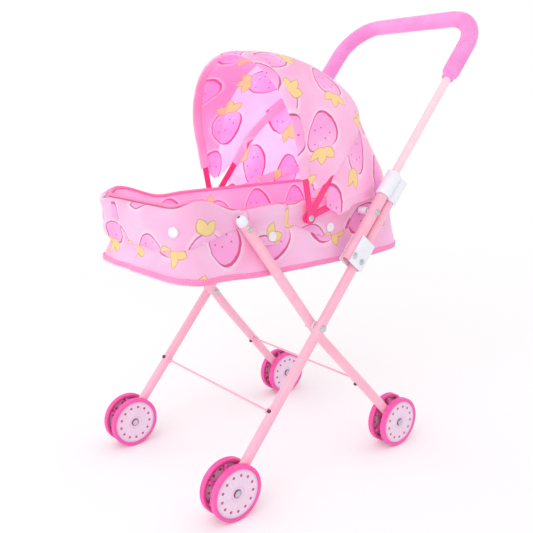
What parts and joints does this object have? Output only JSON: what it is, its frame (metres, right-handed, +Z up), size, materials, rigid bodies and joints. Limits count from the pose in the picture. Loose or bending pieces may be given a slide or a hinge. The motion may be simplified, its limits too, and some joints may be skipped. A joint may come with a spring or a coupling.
{
  "type": "doll stroller",
  "caption": "Folding doll stroller with crossed tube legs, twin wheels, fabric basket, bowed hood and a swing-down handle with sliding locks.",
  "frame": {"origin": "on the floor under the middle of the stroller's overall box", "axes": "+X to the pusher's left, +Y back towards the handle, +Z up"},
  "size_m": [0.2514, 0.4653, 0.556],
  "materials": {
    "leg_paint": "gloss",
    "handle_paint": "gloss",
    "steel": "polished",
    "white_plastic": "satin",
    "wheel_plastic": "gloss",
    "cap_plastic": "satin",
    "bow_plastic": "gloss",
    "grip_foam": "matte",
    "print_fabric": "woven",
    "binding": "woven",
    "board": "matte",
    "dark_screw": "satin"
  },
  "bodies": {
    "main_frame": {"front_leg_left": "leg_paint", "front_leg_right": "leg_paint", "bracket_left": "white_plastic", "bracket_right": "white_plastic", "bracket_rivets": "steel", "front_brace_wire": "leg_paint", "front_brace_screws": "dark_screw", "cross_rivets": "steel", "cross_washers": "white_plastic", "front_axles": "steel"},
    "rear_frame": {"rear_leg_left": "leg_paint", "rear_leg_right": "leg_paint", "rear_cap_left": "white_plastic", "rear_cap_right": "white_plastic", "rear_brace_wire": "leg_paint", "rear_brace_screws": "dark_screw", "rear_axles": "steel", "basket_rivets": "steel"},
    "handle": {"handle_tube": "handle_paint", "socket_left": "leg_paint", "socket_right": "leg_paint", "handle_grip": "grip_foam", "socket_rivets": "steel"},
    "lock_left": {"lock_sleeve_left": "white_plastic"},
    "lock_right": {"lock_sleeve_right": "white_plastic"},
    "basket": {"rail_loop": "steel", "rail_bosses": "white_plastic", "base_board": "board", "basket_liner": "print_fabric", "basket_skirt": "print_fabric", "rim_binding": "binding", "hem_binding": "binding", "snap_buttons": "white_plastic", "hood_rivets": "steel", "rear_bow": "bow_plastic", "hood_back_panel": "print_fabric"},
    "hood_middle": {"middle_bow": "bow_plastic"},
    "hood_front": {"front_bow": "bow_plastic", "hood_front_panel": "print_fabric"},
    "front_wheel_left": {"wheel_front_left_outer": "wheel_plastic", "wheel_front_left_inner": "wheel_plastic", "cap_front_left_outer": "cap_plastic", "cap_front_left_inner": "cap_plastic"},
    "front_wheel_right": {"wheel_front_right_outer": "wheel_plastic", "wheel_front_right_inner": "wheel_plastic", "cap_front_right_outer": "cap_plastic", "cap_front_right_inner": "cap_plastic"},
    "rear_wheel_left": {"wheel_rear_left_outer": "wheel_plastic", "wheel_rear_left_inner": "wheel_plastic", "cap_rear_left_outer": "cap_plastic", "cap_rear_left_inner": "cap_plastic"},
    "rear_wheel_right": {"wheel_rear_right_outer": "wheel_plastic", "wheel_rear_right_inner": "wheel_plastic", "cap_rear_right_outer": "cap_plastic", "cap_rear_right_inner": "cap_plastic"}
  },
  "joints": [
    {"name": "handle_fold", "type": "hinge", "parent": "main_frame", "child": "handle", "pos_m": [0, -0.01414, 0.26624], "axis": [1, 0, 0], "range_deg": [0, 150]},
    {"name": "rear_leg_fold", "type": "hinge", "parent": "main_frame", "child": "rear_frame", "pos_m": [0, -0.06142, 0.18705], "axis": [1, 0, 0], "range_deg": [0, 75.45]},
    {"name": "basket_tilt", "type": "hinge", "parent": "rear_frame", "child": "basket", "pos_m": [0, -0.15473, 0.31207], "axis": [1, 0, 0], "range_deg": [-34.45, 0]},
    {"name": "lock_slide_left", "type": "slide", "parent": "handle", "child": "lock_left", "axis": [0, 0.6455, 0.7638], "range_m": [0, 0.03]},
    {"name": "lock_slide_right", "type": "slide", "parent": "handle", "child": "lock_right", "axis": [0, 0.6455, 0.7638], "range_m": [0, 0.03]},
    {"name": "hood_front_fold", "type": "hinge", "parent": "basket", "child": "hood_front", "pos_m": [0, -0.06273, 0.31207], "axis": [-1, 0, 0], "range_deg": [0, 38]},
    {"name": "hood_middle_fold", "type": "hinge", "parent": "basket", "child": "hood_middle", "pos_m": [0, -0.06273, 0.31207], "axis": [-1, 0, 0], "range_deg": [0, 19.05]},
    {"name": "front_wheel_left_spin", "type": "hinge", "parent": "main_frame", "child": "front_wheel_left", "pos_m": [0.112, -0.19245, 0.032], "axis": [1, 0, 0], "continuous": true},
    {"name": "front_wheel_right_spin", "type": "hinge", "parent": "main_frame", "child": "front_wheel_right", "pos_m": [-0.112, -0.19245, 0.032], "axis": [1, 0, 0], "continuous": true},
    {"name": "rear_wheel_left_spin", "type": "hinge", "parent": "rear_frame", "child": "rear_wheel_left", "pos_m": [0.112, 0.07155, 0.032], "axis": [1, 0, 0], "continuous": true},
    {"name": "rear_wheel_right_spin", "type": "hinge", "parent": "rear_frame", "child": "rear_wheel_right", "pos_m": [-0.112, 0.07155, 0.032], "axis": [1, 0, 0], "continuous": true}
  ],
  "couplings": [
    {"joint": "rear_leg_fold", "follows": "handle_fold", "ratio": 0.5027},
    {"joint": "basket_tilt", "follows": "handle_fold", "ratio": -0.2293},
    {"joint": "hood_middle_fold", "follows": "hood_front_fold", "ratio": 0.5}
  ]
}
